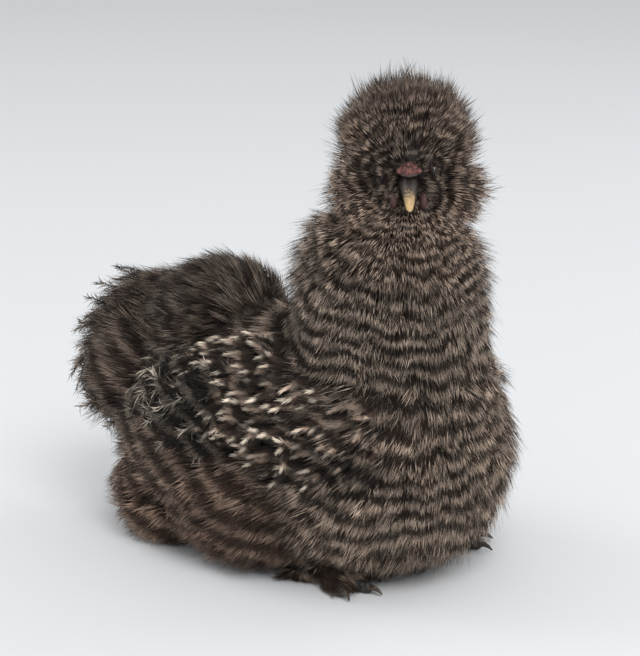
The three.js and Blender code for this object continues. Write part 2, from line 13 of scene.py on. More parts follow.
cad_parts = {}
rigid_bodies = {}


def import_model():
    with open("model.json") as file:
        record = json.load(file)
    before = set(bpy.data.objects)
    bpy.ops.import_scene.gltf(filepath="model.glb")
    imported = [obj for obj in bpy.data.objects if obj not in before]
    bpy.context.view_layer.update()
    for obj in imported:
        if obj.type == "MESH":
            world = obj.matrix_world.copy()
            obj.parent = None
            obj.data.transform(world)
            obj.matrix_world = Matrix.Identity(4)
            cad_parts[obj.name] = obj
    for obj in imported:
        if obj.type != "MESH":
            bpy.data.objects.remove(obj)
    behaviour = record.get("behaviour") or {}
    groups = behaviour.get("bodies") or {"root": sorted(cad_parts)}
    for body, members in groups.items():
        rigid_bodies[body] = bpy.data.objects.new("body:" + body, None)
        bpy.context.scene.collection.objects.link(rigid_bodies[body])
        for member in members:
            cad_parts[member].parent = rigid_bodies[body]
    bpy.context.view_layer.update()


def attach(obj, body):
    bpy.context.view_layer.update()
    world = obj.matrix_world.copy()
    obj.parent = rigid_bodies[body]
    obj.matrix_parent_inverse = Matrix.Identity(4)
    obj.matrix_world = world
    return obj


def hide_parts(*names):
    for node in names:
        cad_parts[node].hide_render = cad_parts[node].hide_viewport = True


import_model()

# The camera stands off the bird's right breast, a little above its head, and looks down on it by
# 15 degrees. A long lens from 1.3 metres keeps the form flat.
SIGHT_TURN = math.radians(-55)
SIGHT_HEIGHT = math.radians(15)
SIGHT_DISTANCE = 1.3
SIGHT_ACROSS = 0.012
SIGHT_ABOVE = 0.1272
LENS = 118.9

back_of_sight = Vector((
    math.sin(SIGHT_TURN) * math.cos(SIGHT_HEIGHT),
    -math.cos(SIGHT_TURN) * math.cos(SIGHT_HEIGHT),
    math.sin(SIGHT_HEIGHT),
))
right_of_sight = Vector((0, 0, 1)).cross(back_of_sight).normalized()
up_of_sight = back_of_sight.cross(right_of_sight)
target = right_of_sight * SIGHT_ACROSS + up_of_sight * SIGHT_ABOVE
bpy.ops.object.camera_add(location=target + back_of_sight * SIGHT_DISTANCE)
camera = bpy.context.object
camera.rotation_mode = "QUATERNION"
camera.rotation_quaternion = back_of_sight.to_track_quat("Z", "Y")
camera.data.lens = LENS
bpy.context.scene.camera = camera

# The skin under the feathers is one closed hide: trunk, neck, head, wings, thighs and tail stump
# grown together. Each swelling starts as a ball and is drawn out to its own form, then all are
# fused and smoothed, and the face is hollowed out of them.
MM = 0.001
TORSO = {
    "front": 121, "back": -108, "centre": (78, 62), "half": (78, 72),
    "rise": (76, 66), "fall": (82, 68), "fullness": 0.74,
}
NECK = {
    "bottom": 92, "top": 208, "forward": (58, 72), "half": (64, 38),
    "depth": (55, 36), "fullness": 0.28,
}
HEAD_RIGHT = 13
HEAD_AT = (-HEAD_RIGHT, -82, 238)
HEAD_TURN = math.radians(-55)
HEAD_BOW = math.radians(10)
WING = {
    "reach": (98, -46), "middle": (32, 38), "chord": (31, 20),
    "thickness": 8, "inset": 2.5, "fullness": 0.6,
}
SKIN_VOXEL = 0.003
FACE_HOLLOWS = [
    ((0, -38, 0), (16, 24, 15)),
    ((17, -24, 2), (8, 18, 7.5)),
    ((-17, -24, 2), (8, 18, 7.5)),
]

head_turned = np.array(Euler((HEAD_BOW, 0, HEAD_TURN)).to_matrix())


def between(ends, share):
    """A share of the way from one end to the other."""
    return ends[0] + (ends[1] - ends[0]) * share


def on_head(points):
    """Points given on the head, in the bird's own frame."""
    return np.asarray(points, float) @ head_turned.T + np.array(HEAD_AT)


def torso_form(u, v):
    """The trunk: u runs from the breast to the tail, and v round it."""
    middle = (TORSO["front"] + TORSO["back"]) / 2
    semi = (TORSO["front"] - TORSO["back"]) / 2
    forward = middle + semi * np.cos(np.pi * u)
    share = (TORSO["front"] - forward) / (2 * semi)
    swell = np.sin(np.pi * u) ** TORSO["fullness"]
    height = np.where(np.sin(v) > 0, between(TORSO["rise"], share), between(TORSO["fall"], share))
    across = between(TORSO["half"], share) * swell * np.cos(v)
    return np.stack([across, -forward, between(TORSO["centre"], share) + height * swell * np.sin(v)], -1)


def neck_form(u, v):
    """The neck: u runs from its base up to the head, and v round it."""
    semi = (NECK["top"] - NECK["bottom"]) / 2
    share = (1 - np.cos(np.pi * u)) / 2
    swell = np.sin(np.pi * u) ** NECK["fullness"]
    across = between(NECK["half"], share) * swell * np.cos(v) - HEAD_RIGHT * share**2
    forward = between(NECK["forward"], share) - between(NECK["depth"], share) * swell * np.sin(v)
    return np.stack([across, -forward, NECK["bottom"] + 2 * semi * share], -1)


def ball_form(centre, half):
    def form(u, v):
        ring = np.sin(np.pi * u)
        unit = np.stack([ring * np.cos(v), np.cos(np.pi * u), ring * np.sin(v)], -1)
        return np.array(centre) + unit * np.array(half)

    return form


def head_ball(centre, half):
    inner = ball_form(centre, half)
    return lambda u, v: on_head(inner(u, v))


SLOPE_STEP = 0.002


def wing_form(side):
    """A thin swelling that lies on the trunk and follows its curve."""

    def form(u, v):
        share = (1 - np.cos(np.pi * u)) / 2
        forward = between(WING["reach"], share)
        swell = np.sin(np.pi * u) ** WING["fullness"]
        chord = between(WING["chord"], share) * swell * np.cos(v)
        angle = np.radians(between(WING["middle"], share) + chord)
        middle = (TORSO["front"] + TORSO["back"]) / 2
        semi = (TORSO["front"] - TORSO["back"]) / 2
        trunk_u = np.arccos((forward - middle) / semi) / np.pi
        along = torso_form(trunk_u + SLOPE_STEP, angle) - torso_form(trunk_u - SLOPE_STEP, angle)
        about = torso_form(trunk_u, angle + SLOPE_STEP) - torso_form(trunk_u, angle - SLOPE_STEP)
        normal = np.cross(about, along)
        normal /= np.linalg.norm(normal, axis=-1, keepdims=True)
        outward = np.stack([np.cos(angle), 0 * angle, np.sin(angle)], -1)
        normal *= np.sign(np.sum(normal * outward, -1, keepdims=True))
        depth = np.where(np.sin(v) > 0, WING["thickness"], WING["inset"]) * np.sin(v) * swell
        return (torso_form(trunk_u, angle) + normal * depth[..., None]) * np.array([side, 1, 1])

    return form


def points_of(mesh):
    points = np.empty(len(mesh.vertices) * 3)
    mesh.vertices.foreach_get("co", points)
    return points.reshape(-1, 3) / MM


def move_points(mesh, points):
    mesh.vertices.foreach_set("co", (points * MM).ravel())
    mesh.update()


def deselect():
    for one in list(bpy.context.selected_objects):
        one.select_set(False)


def chosen(*pieces):
    deselect()
    for piece in pieces:
        piece.select_set(True)
    bpy.context.view_layer.objects.active = pieces[0]


def drawn_out(form, rings=20, segments=32):
    """A ball pulled out to a form, whose two ends are the ball's poles."""
    deselect()
    bpy.ops.mesh.primitive_uv_sphere_add(segments=segments, ring_count=rings, radius=1)
    piece = bpy.context.object
    unit = points_of(piece.data) * MM
    along = np.clip(np.arccos(np.clip(unit[:, 2], -1, 1)) / np.pi, 0, 1)
    move_points(piece.data, form(along, np.arctan2(unit[:, 1], unit[:, 0])))
    bpy.ops.object.mode_set(mode="EDIT")
    bpy.ops.mesh.select_all(action="SELECT")
    bpy.ops.mesh.normals_make_consistent(inside=False)
    bpy.ops.object.mode_set(mode="OBJECT")
    return piece


def applied(piece, kind, **settings):
    chosen(piece)
    modifier = piece.modifiers.new(kind.lower(), kind)
    for name, value in settings.items():
        setattr(modifier, name, value)
    bpy.ops.object.modifier_apply(modifier=modifier.name)
    return piece


def fused(pieces, voxel, name):
    """All the pieces as one closed surface."""
    chosen(*pieces)
    if len(pieces) > 1:
        bpy.ops.object.join()
    piece = bpy.context.view_layer.objects.active
    piece.name = name
    piece.data.name = name
    return applied(piece, "REMESH", mode="VOXEL", voxel_size=voxel, use_smooth_shade=True)


def unwrap(piece):
    """Lays the piece's surface out flat. Feathers take their place on this map from their roots."""
    chosen(piece)
    bpy.ops.object.mode_set(mode="EDIT")
    bpy.ops.mesh.select_all(action="SELECT")
    bpy.ops.uv.smart_project(angle_limit=math.radians(66), island_margin=0.002)
    bpy.ops.object.mode_set(mode="OBJECT")
    piece.data.uv_layers[0].name = "OFBake"


FORMS = {
    "skull": head_ball((0, 0, 0), (15, 22, 17)),
    "crest": head_ball((0, 14, 7), (29, 28, 28)),
    "cheek_left": head_ball((21, 6, -15), (13, 17, 15)),
    "cheek_right": head_ball((-21, 6, -15), (13, 17, 15)),
    "beard": head_ball((0, -10, -32), (26, 20, 20)),
    "neck": neck_form,
    "torso": torso_form,
    "torso_crop": ball_form((0, -70, 104), (60, 47, 45)),
    "saddle": ball_form((0, 57, 120), (44, 41, 41)),
    "abdomen": ball_form((0, 64, 32), (61, 48, 44)),
    "wing_left": wing_form(1),
    "wing_right": wing_form(-1),
    "thigh_left": ball_form((56, 0, 50), (22, 46, 40)),
    "thigh_right": ball_form((-56, 0, 50), (22, 46, 40)),
    "tail": ball_form((0, 90, 100), (46, 47, 48)),
}

swellings = [drawn_out(form) for form in FORMS.values()]
landmarks = {name: points_of(piece.data) for name, piece in zip(FORMS, swellings)}
skin = fused(swellings, SKIN_VOXEL, "skin")
for centre, half in FACE_HOLLOWS:
    tool = drawn_out(head_ball(centre, half))
    applied(skin, "BOOLEAN", operation="DIFFERENCE", object=tool, solver="EXACT")
    bpy.data.objects.remove(tool)
applied(skin, "REMESH", mode="VOXEL", voxel_size=SKIN_VOXEL, use_smooth_shade=True)
applied(skin, "SMOOTH", factor=0.5, iterations=5)
LOWEST_SKIN = 1.5
hide = points_of(skin.data)
hide[:, 2] = np.maximum(hide[:, 2], LOWEST_SKIN)
move_points(skin.data, hide)
unwrap(skin)
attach(skin, "root")
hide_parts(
    "head", "neck", "torso", "tail", "wing_left", "wing_right", "thigh_left", "thigh_right",
)

# The plumage grows in regions, as in a live bird, and each passes softly into the next. The columns
# are the length, how far it stands up from the skin, how it bends back down, how wide each feather
# fans, the barb's radius, and how pale, how frosted at the tips, how brown and how dense it is.
GROWTH = {
    "skull": (9, 26, 0.05, 14, 0.17, 0.35, 0.2, 0.15, 1.8),
    "crest": (27, 35, 0.09, 13, 0.18, 0.55, 0.2, 0.42, 2.0),
    "cheek": (24, 29, 0.10, 13, 0.19, 0.85, 0.2, 0.50, 1.8),
    "beard": (21, 29, 0.12, 13, 0.19, 1.25, 0.5, 0.55, 1.8),
    "neck": (29, 31, 0.20, 12, 0.19, 0.85, 0.5, 0.15, 1.4),
    "torso": (30, 28, 0.22, 12, 0.205, 0.95, 0.6, 0.30, 1.1),
    "saddle": (26, 20, 0.20, 12, 0.19, 0.36, 0.5, 0.25, 1.5),
    "abdomen": (31, 27, 0.22, 13, 0.21, 0.60, 0.0, 1.00, 1.0),
    "wing": (13, 14, 0.10, 9, 0.26, 0.25, 0.0, 0.10, 1.0),
    "thigh": (28, 28, 0.20, 13, 0.21, 0.45, 0.0, 1.00, 1.0),
    "tail": (33, 28, 0.16, 16, 0.20, 0.48, 0.3, 0.40, 1.2),
}
LENGTH, LIFT, BEND, FAN, RADIUS, PALENESS, FROST, BROWNNESS, DENSITY = range(9)
FACE_CENTRE = on_head([0, -14, -2])
REGION_SOFTNESS = 5


def unit_rows(vectors):
    """Each vector at length one."""
    return vectors / np.maximum(np.linalg.norm(vectors, axis=-1, keepdims=True), 1e-9)


def frontness(points):
    """From 0 at mid trunk to 1 at the front of the breast."""
    return np.clip((-points[:, 1] - 20) / 90, 0, 1)


def lie_of(region, points):
    """Which way a region's feathers run."""
    flat = np.zeros(len(points))
    if region in ("skull", "crest", "cheek", "beard"):
        return unit_rows(points - FACE_CENTRE)
    if region == "neck":
        return unit_rows(np.stack([flat, flat + 0.12, flat - 1], -1))
    if region in ("torso", "saddle", "abdomen"):
        fall = -0.3 - 2.2 * frontness(points) ** 2 - np.where(points[:, 2] < 50, 0.3, 0)
        return unit_rows(np.stack([flat, flat + 1, fall], -1))
    if region == "tail":
        cascade = np.clip((points[:, 1] - 60) / 75, 0, 1)
        return unit_rows(np.stack([flat, flat + 1, 0.9 - 1.9 * cascade], -1))
    if region == "thigh":
        return unit_rows(np.stack([flat, flat + 1, flat - 0.8], -1))
    return unit_rows(np.stack([flat, flat + 1, flat - 0.22], -1))


def nearest(points, marks):
    """How far each point is from the nearest of the marks."""
    batch = 4000
    least = np.empty(len(points))
    for start in range(0, len(points), batch):
        some = points[start : start + batch]
        gaps = ((some[:, None, :] - marks[None, :, :]) ** 2).sum(-1)
        least[start : start + batch] = np.sqrt(gaps.min(1))
    return least


def share_of(*names):
    """How much of each point of the hide belongs to some regions."""
    return shares[:, np.isin(region_names, names)].sum(1)


def passing(values, start, width):
    """0 up to a start, then rising to 1 over a width. A width below 0 rises the other way."""
    return np.clip((values - start) / width, 0, 1)


hide = points_of(skin.data)
distances = np.stack([nearest(hide, marks) for marks in landmarks.values()], 1)
shares = np.exp(-(distances - distances.min(1, keepdims=True)) / REGION_SOFTNESS)
shares /= shares.sum(1, keepdims=True)
region_names = [name.split("_")[0] for name in landmarks]
growth = shares @ np.array([GROWTH[name] for name in region_names])
lies = sum(shares[:, i : i + 1] * lie_of(name, hide) for i, name in enumerate(region_names))
growth[:, PALENESS] *= 1 - 0.35 * passing(hide[:, 1], -50, 40) * passing(hide[:, 2], 50, 20)

# The hackle fluffs out under the head, painted darker there as shade under the head, and lies closer at
# its base. The breast is fuller in front, the lowest plumes of the tail hang longest, and the crown of
# the crest is darkest.
under_head = share_of("neck") * passing(hide[:, 2], 166, 26)
growth[:, LENGTH] += 8 * under_head
growth[:, LIFT] += 17 * under_head
# Painted shade under the head: the hackle there is made less pale.
growth[:, PALENESS] *= 1 - 0.3 * under_head
growth[:, LIFT] -= 12 * share_of("neck") * passing(hide[:, 2], 142, -24)
full_breast = share_of("torso") * frontness(hide)
growth[:, LENGTH] += 6 * full_breast
growth[:, LIFT] += 6 * full_breast
hanging = share_of("tail") * passing(hide[:, 2], 104, -30)
growth[:, LENGTH] += 9 * hanging
growth[:, LIFT] += 8 * hanging
growth[:, PALENESS] *= 1 - 0.45 * share_of("crest") * passing(hide[:, 2], 252, 14)

# The down just below each folded wing, where the wing overhangs the flank, is painted dark and less
# brown: painted shade under the wing.
WING_FOLD_SHADE_WIDTH = 9
from_wing = distances[:, np.isin(region_names, ["wing"])].min(1)
wing_fold_shade = np.exp(-((from_wing / WING_FOLD_SHADE_WIDTH) ** 2)) * (1 - share_of("wing")) * passing(hide[:, 2], 100, -12)
growth[:, PALENESS] *= 1 - 0.85 * wing_fold_shade
growth[:, BROWNNESS] *= 1 - wing_fold_shade

# The bars are rings round the face, close on the head and breast and wide and faint on the flanks
# and belly. They waver a little, as cuckoo barring does.
BAR_AT_FACE = 6.4
BAR_GROWTH = 0.036
WIDE_BAR = 14.5
FACE_REACH = 62


def bar_phases(points):
    """How many bars lie between the face and each point, counted in close bars and in wide ones."""
    x, y, z = points[..., 0], points[..., 1], points[..., 2]
    reach = np.linalg.norm(points - FACE_CENTRE, axis=-1)
    waver = 0.42 * np.sin(x / 15 + 1.3) * np.cos(z / 13 + 0.4)
    waver = waver + 0.34 * np.sin(y / 12 + x / 25 + z / 31)
    waver = waver + 0.24 * np.sin(x / 4.3 + z / 6.1) * np.sin(y / 5.1 + z / 9)
    on_face = np.exp(-((reach / FACE_REACH) ** 2))
    waver = waver + 0.32 * on_face * np.sin(x / 2.9 + y / 3.7) * np.cos(z / 3.3 + x / 7)
    close = np.log(1 + BAR_GROWTH * reach / BAR_AT_FACE) / BAR_GROWTH
    return close + waver, reach / WIDE_BAR + 0.6 * waver


def wide_share(points):
    """Where the wide bars take over: behind the breast, and low on it."""
    share = np.maximum(passing(points[..., 1], -62, 42), passing(points[..., 2], 34, -20))
    return share * share * (3 - 2 * share)


# Bare skin shows only round the eyes and where the beak leaves the brow, in the face's hollow.
BARE_SPOTS = [
    ((0, -20, 1), (4.4, 7, 7)),
    ((13.5, -12, 1.5), (6.5, 7, 6.5)),
    ((-13.5, -12, 1.5), (6.5, 7, 6.5)),
]
# In the face's hollow the tufts grow short, upright and dense, and their paleness drops to 0.34: painted
# shade in the hollow round the eyes and the beak's base.
IN_HOLLOW = {LENGTH: 13, LIFT: 40, PALENESS: 0.34, DENSITY: 2.6}


def inside(points, balls, edge, softness):
    """How far each point lies inside any of some balls of the head, from 0 at the edge to 1."""
    local = (points - np.array(HEAD_AT)) @ head_turned
    least = np.full(len(points), 9.0)
    for centre, half in balls:
        least = np.minimum(least, np.linalg.norm((local - np.array(centre)) / np.array(half), axis=1))
    return np.clip((edge - least) / softness, 0, 1)


def mark(mesh, name, values):
    """Writes a number for each vertex, which the plumage's finish reads."""
    attribute = mesh.attributes.new(name, "FLOAT", "POINT")
    attribute.data.foreach_set("value", np.asarray(values, np.float32))


bareness = inside(hide, BARE_SPOTS, 1.1, 0.2)
hollow = inside(hide, FACE_HOLLOWS, 1.2, 0.2)
for column, value in IN_HOLLOW.items():
    growth[:, column] = between((growth[:, column], value), hollow)
close_phase, wide_phase = bar_phases(hide)
mark(skin.data, "phase", close_phase)
mark(skin.data, "wide_phase", wide_phase)
mark(skin.data, "wide", wide_share(hide))
mark(skin.data, "pale", growth[:, PALENESS] * 0.7)
mark(skin.data, "brown", growth[:, BROWNNESS])
mark(skin.data, "frost", np.zeros(len(hide)))
mark(skin.data, "tone", np.zeros(len(hide)))
# The hide counts as the root of the coat, so the finish darkens it as it does the barbs' roots: partly
# down colour, partly painted shade under the coat.
mark(skin.data, "along", np.full(len(hide), 0.2))
mark(skin.data, "bare", bareness)


# Feathers are silky tufts: each has no vane, only soft barbs that fan from one root and taper to
# hairs. A barb is a thin closed blade of three sides, bent once, and all the barbs of a region are
# one mesh.
TUFTS = 8400
BARBS = 14
TUFT_PATCH = 0.003
LARGEST_PIECE = 19500
ROOT_DEPTH = 1.2
FLOOR_CLEARANCE = 0.7
FLATNESS = 0.7
ALONG_BARB = (0, 0.55, 1.0)
DRAWN_TOGETHER = (0, 0.12, 0.42)
BARB_SCATTER = 0.09
FAN_SCATTER = 4
LIFT_SCATTER = 6
ROOT_SCATTER = 3.5
WIDE_JITTER = 0.6
BROKEN_BARS = 0.13
SWAY = 13
UNDER_BELLY = 6
RING_ANGLES = np.radians([90, 210, 330])
BLADE_FACES = [(0, 2, 1), (0, 1, 4, 3), (1, 2, 5, 4), (2, 0, 3, 5), (3, 4, 6), (4, 5, 6), (5, 3, 6)]


def samples(piece, want_of, random, count):
    """Roots spread evenly over a piece: their corners, weights, place on its unwrap, and normal."""
    mesh = piece.data
    mesh.calc_loop_triangles()
    corners = np.empty(len(mesh.loop_triangles) * 3, np.int32)
    loops = np.empty(len(mesh.loop_triangles) * 3, np.int32)
    mesh.loop_triangles.foreach_get("vertices", corners)
    mesh.loop_triangles.foreach_get("loops", loops)
    corners, loops = corners.reshape(-1, 3), loops.reshape(-1, 3)
    unwrapped = np.empty(len(mesh.loops) * 2)
    mesh.uv_layers["OFBake"].uv.foreach_get("vector", unwrapped)
    unwrapped = unwrapped.reshape(-1, 2)
    spots = points_of(mesh)[corners]
    faces = np.cross(spots[:, 1] - spots[:, 0], spots[:, 2] - spots[:, 0])
    want = np.linalg.norm(faces, axis=1) * want_of(corners, spots.mean(1), faces)
    reached = np.cumsum(want)
    aims = (np.arange(count) + random.random(count)) / count * reached[-1]
    picked = np.searchsorted(reached, aims).clip(0, len(want) - 1)
    weights = random.dirichlet((1, 1, 1), count)
    normals = np.empty(len(mesh.vertices) * 3)
    mesh.vertex_normals.foreach_get("vector", normals)
    normals = normals.reshape(-1, 3)
    places = (unwrapped[loops[picked]] * weights[:, :, None]).sum(1)
    upright = unit_rows((normals[corners[picked]] * weights[:, :, None]).sum(1))
    return corners[picked], weights, places, upright


def wanted(corners, middles, faces):
    """How many feathers a place on the hide has: few under the belly, none on the bare spots."""
    under = (middles[:, 2] < UNDER_BELLY) & (faces[:, 2] < 0)
    return growth[corners, DENSITY].mean(1) * np.where(under, 0.15, 1) * (1 - bareness[corners].mean(1))


def mixed(values, corners, weights):
    """The hide's own values at each root."""
    return (values[corners] * weights.reshape(weights.shape + (1,) * (values.ndim - 1))).sum(1)


def blades(name, paths, widths, across, marks):
    """One coat piece: a closed three-sided blade along each path of three points."""
    count = len(paths)
    ahead = unit_rows(paths[:, 2] - paths[:, 0])
    side = unit_rows(across - (across * ahead).sum(1, keepdims=True) * ahead)
    up = np.cross(ahead, side)
    points = np.empty((count, 7, 3))
    for station, thickness in ((0, 0.75), (1, 1.0)):
        for k, angle in enumerate(RING_ANGLES):
            offset = side * math.cos(angle) + up * math.sin(angle) * FLATNESS
            points[:, station * 3 + k] = paths[:, station] + offset * (widths * thickness)[:, None]
    points[:, 6] = paths[:, 2]
    points[..., 2] = np.maximum(points[..., 2], FLOOR_CLEARANCE)
    sizes = np.tile([len(face) for face in BLADE_FACES], count)
    pattern = np.concatenate([np.array(face) for face in BLADE_FACES])
    corners = (np.arange(count)[:, None] * 7 + pattern[None]).ravel()
    mesh = bpy.data.meshes.new(name)
    mesh.vertices.add(count * 7)
    mesh.vertices.foreach_set("co", (points * MM).ravel())
    mesh.loops.add(len(corners))
    mesh.loops.foreach_set("vertex_index", corners.astype(np.int32))
    mesh.polygons.add(len(sizes))
    mesh.polygons.foreach_set("loop_start", (np.cumsum(sizes) - sizes).astype(np.int32))
    mesh.polygons.foreach_set("use_smooth", np.ones(len(sizes), bool))
    mesh.update(calc_edges=True)
    along = marks["along"][:, [0, 0, 0, 1, 1, 1, 2]]
    patch = np.stack([np.repeat(marks["spread"][:, None] * 0.5, 7, 1), along - 0.5], -1)
    patch = marks["place"][:, None, :] + TUFT_PATCH * patch
    layer = mesh.uv_layers.new(name="OFBake")
    layer.uv.foreach_set("vector", patch.reshape(-1, 2)[corners].astype(np.float32).ravel())
    close, wide = bar_phases(points)
    mark(mesh, "phase", (close + marks["jitter"][:, None]).ravel())
    mark(mesh, "wide_phase", (wide + WIDE_JITTER * marks["jitter"][:, None]).ravel())
    mark(mesh, "wide", np.repeat(wide_share(paths[:, 0]), 7))
    mark(mesh, "along", along.ravel())
    mark(mesh, "bare", np.zeros(count * 7))
    for key in ("pale", "brown", "tone", "frost"):
        mark(mesh, key, np.repeat(marks[key], 7))
    piece = bpy.data.objects.new(name, mesh)
    bpy.context.scene.collection.objects.link(piece)
    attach(piece, "root")
    return piece


def barb_paths(random, tufts, of_tuft, spread):
    """The three points of each barb, from the skin to its tip, and its side. Tips draw together."""
    rows = {key: values[of_tuft] for key, values in tufts.items()}
    count = len(of_tuft)
    side = unit_rows(np.cross(rows["normal"], rows["lie"]))
    flat = unit_rows(np.cross(side, rows["normal"]))
    angle = np.radians(rows["fan"]) * spread + np.radians(FAN_SCATTER) * random.standard_normal(count)
    rise = np.radians(rows["lift"]) + np.radians(LIFT_SCATTER) * random.standard_normal(count)
    length = rows["length"] * (1 - 0.2 * np.abs(spread)) * (0.75 + 0.33 * random.random(count))
    heading = flat * np.cos(angle)[:, None] + side * np.sin(angle)[:, None]
    start = heading * np.cos(rise)[:, None] + rows["normal"] * np.sin(rise)[:, None]
    drift = side * (0.05 * random.standard_normal(count))[:, None] - rows["normal"] * rows["bend"][:, None]
    shift = side * (spread * rows["half"])[:, None] * random.random(count)[:, None]
    shift = shift + flat * ((random.random(count) - 0.5) * ROOT_SCATTER)[:, None]
    shift = shift - rows["normal"] * ROOT_DEPTH
    middle = flat * np.cos(np.radians(rows["lift"]))[:, None]
    middle = middle + rows["normal"] * (np.sin(np.radians(rows["lift"])) - rows["bend"])[:, None]
    meeting = rows["root"] + middle * (rows["length"] * 0.92)[:, None]
    stations = []
    for t, drawn in zip(ALONG_BARB, DRAWN_TOGETHER):
        free = rows["root"] + shift + (start * t + drift * t**2) * length[:, None]
        on_middle = rows["root"] + (meeting - rows["root"]) * t
        stations.append(free + (on_middle - free) * (drawn * rows["draw"])[:, None])
    return np.stack(stations, 1), side


def marks_of(tufts, of_tuft, spread, random):
    """What each barb takes from its tuft: its place on the unwrap and how it is coloured."""
    count = len(of_tuft)
    return {
        "spread": spread,
        "along": np.tile(ALONG_BARB, (count, 1)),
        "place": tufts["place"][of_tuft],
        "jitter": tufts["jitter"][of_tuft] + BARB_SCATTER * random.standard_normal(count),
        "pale": tufts["pale"][of_tuft],
        "brown": tufts["brown"][of_tuft],
        "tone": 0.75 * tufts["tone"][of_tuft] + 0.75 * random.standard_normal(count),
        "frost": tufts["frost"][of_tuft],
    }


random = np.random.default_rng(11)
corners, weights, places, normals = samples(skin, wanted, random, TUFTS)
tuft_growth = mixed(growth, corners, weights)
tuft_region = np.array(region_names)[mixed(shares, corners, weights).argmax(1)]
of_head = np.isin(tuft_region, ["crest", "skull", "cheek", "beard"])
sway = np.radians(SWAY) * random.standard_normal(TUFTS)[:, None]
straight = mixed(lies, corners, weights)
of_rear = np.isin(tuft_region, ["tail", "saddle"])
strayed = (random.random(TUFTS) < BROKEN_BARS) * (random.random(TUFTS) - 0.5)
shuffled = np.where(of_head, 0.24, np.where(of_rear, 0.28, 0.13))
tufts = {
    "root": mixed(hide, corners, weights),
    "normal": normals,
    "lie": straight * np.cos(sway) + unit_rows(np.cross(normals, straight)) * np.sin(sway),
    "place": places,
    "length": tuft_growth[:, LENGTH] * np.exp(0.12 * random.standard_normal(TUFTS)),
    "lift": tuft_growth[:, LIFT] + 5 * random.standard_normal(TUFTS),
    "bend": tuft_growth[:, BEND],
    "fan": tuft_growth[:, FAN],
    "half": np.full(TUFTS, 1.8),
    "draw": np.where(np.isin(tuft_region, ["crest", "skull", "cheek"]), 0.55, 1.0),
    "width": tuft_growth[:, RADIUS],
    "pale": tuft_growth[:, PALENESS],
    "frost": tuft_growth[:, FROST] * (random.random(TUFTS) < 0.3),
    "brown": tuft_growth[:, BROWNNESS],
    "tone": random.standard_normal(TUFTS),
    "jitter": shuffled * random.standard_normal(TUFTS) + strayed,
}
COATS = {
    "crest": (("crest", "skull"), "head_plumage"),
    "beard": (("beard", "cheek"), "head_plumage"),
    "hackle": (("neck",), "body_plumage"),
    "breast": (("torso",), "body_plumage"),
    "cushion": (("saddle",), "body_plumage"),
    "fluff": (("abdomen",), "body_plumage"),
    "thigh_feathers": (("thigh",), "body_plumage"),
    "wing_down": (("wing",), "wing_plumage"),
    "tail_plumes": (("tail",), "tail_plumage"),
}
coats = []
for coat_name, (regions, slot_name) in COATS.items():
    members = np.flatnonzero(np.isin(tuft_region, regions))
    members = members[np.argsort(tufts["root"][members, 0], kind="stable")]
    parts = max(1, math.ceil(len(members) * BARBS / LARGEST_PIECE))
    for part, some in enumerate(np.array_split(members, parts)):
        of_tuft = np.repeat(some, BARBS)
        spread = np.tile(np.linspace(-1, 1, BARBS), len(some))
        paths, across = barb_paths(random, tufts, of_tuft, spread)
        full_name = coat_name if parts == 1 else f"{coat_name}_{part + 1}"
        widths = tufts["width"][of_tuft] * (0.75 + 0.5 * random.random(len(of_tuft)))
        marks = marks_of(tufts, of_tuft, spread, random)
        coats.append(blades(full_name, paths, widths, across, marks))

# The wing's coverts are small true feathers in rows: barbs leave both sides of a shaft, and the tip
# is cream. Behind them the flight feathers of a silkie are frayed into pale and black wisps.
COVERT_SPACING = 5.3
COVERT_BARBS = 48
FLIGHT_SPACING = 6.2
FLIGHT_BARBS = 84
BARB_LEAN = 34
LEAN_LOST = 26


def spaced(points, distance):
    """The points that keep a distance from those kept before them."""
    kept = []
    for i, point in enumerate(points):
        if not kept or np.min(np.linalg.norm(points[kept] - point, axis=1)) > distance:
            kept.append(i)
    return np.array(kept)


def vanes(random, feathers, barbs):
    """The barbs of each feather, in pairs up its shaft, and how far up it their points lie."""
    of_feather = np.repeat(np.arange(len(feathers["root"])), barbs)
    rows = {key: values[of_feather] for key, values in feathers.items()}
    count = len(of_feather)
    up_shaft = np.tile(np.linspace(0.08, 0.97, barbs), len(feathers["root"]))
    hand = np.tile(np.where(np.arange(barbs) % 2, 1.0, -1.0), len(feathers["root"]))
    side = unit_rows(np.cross(rows["normal"], rows["lie"]))
    flat = unit_rows(np.cross(side, rows["normal"]))
    lean = np.radians(BARB_LEAN - LEAN_LOST * up_shaft + rows["fray"] * 9 * random.standard_normal(count))
    reach = rows["half"] / np.sin(np.radians(BARB_LEAN)) * (1 - 0.45 * up_shaft**2)
    reach = reach * (0.85 + 0.3 * random.random(count)) * (1 + 0.5 * rows["fray"] * random.random(count))
    rise = np.radians(rows["lift"])
    slope = flat * np.cos(rise)[:, None] + rows["normal"] * np.sin(rise)[:, None]
    sag = rows["normal"] * rows["bend"][:, None]

    def on_shaft(t):
        return rows["root"] + (slope * t[:, None] - sag * (t**2)[:, None]) * rows["length"][:, None]

    base = on_shaft(up_shaft)
    heading = slope * np.cos(lean)[:, None] + side * (hand * np.sin(lean))[:, None]
    heading = unit_rows(heading - sag * (2 * up_shaft)[:, None])
    droop = rows["normal"] * (0.10 + 0.18 * rows["fray"] * random.standard_normal(count))[:, None]
    curl = side * (rows["fray"] * 0.22 * random.standard_normal(count))[:, None]
    stations = [base + (heading * t - (droop - curl) * t**2) * reach[:, None] for t in ALONG_BARB]
    gain = reach / rows["length"] * 0.8
    along = np.clip(up_shaft[:, None] + gain[:, None] * np.array(ALONG_BARB), 0, 1)
    return of_feather, np.stack(stations, 1), side, along, hand * up_shaft


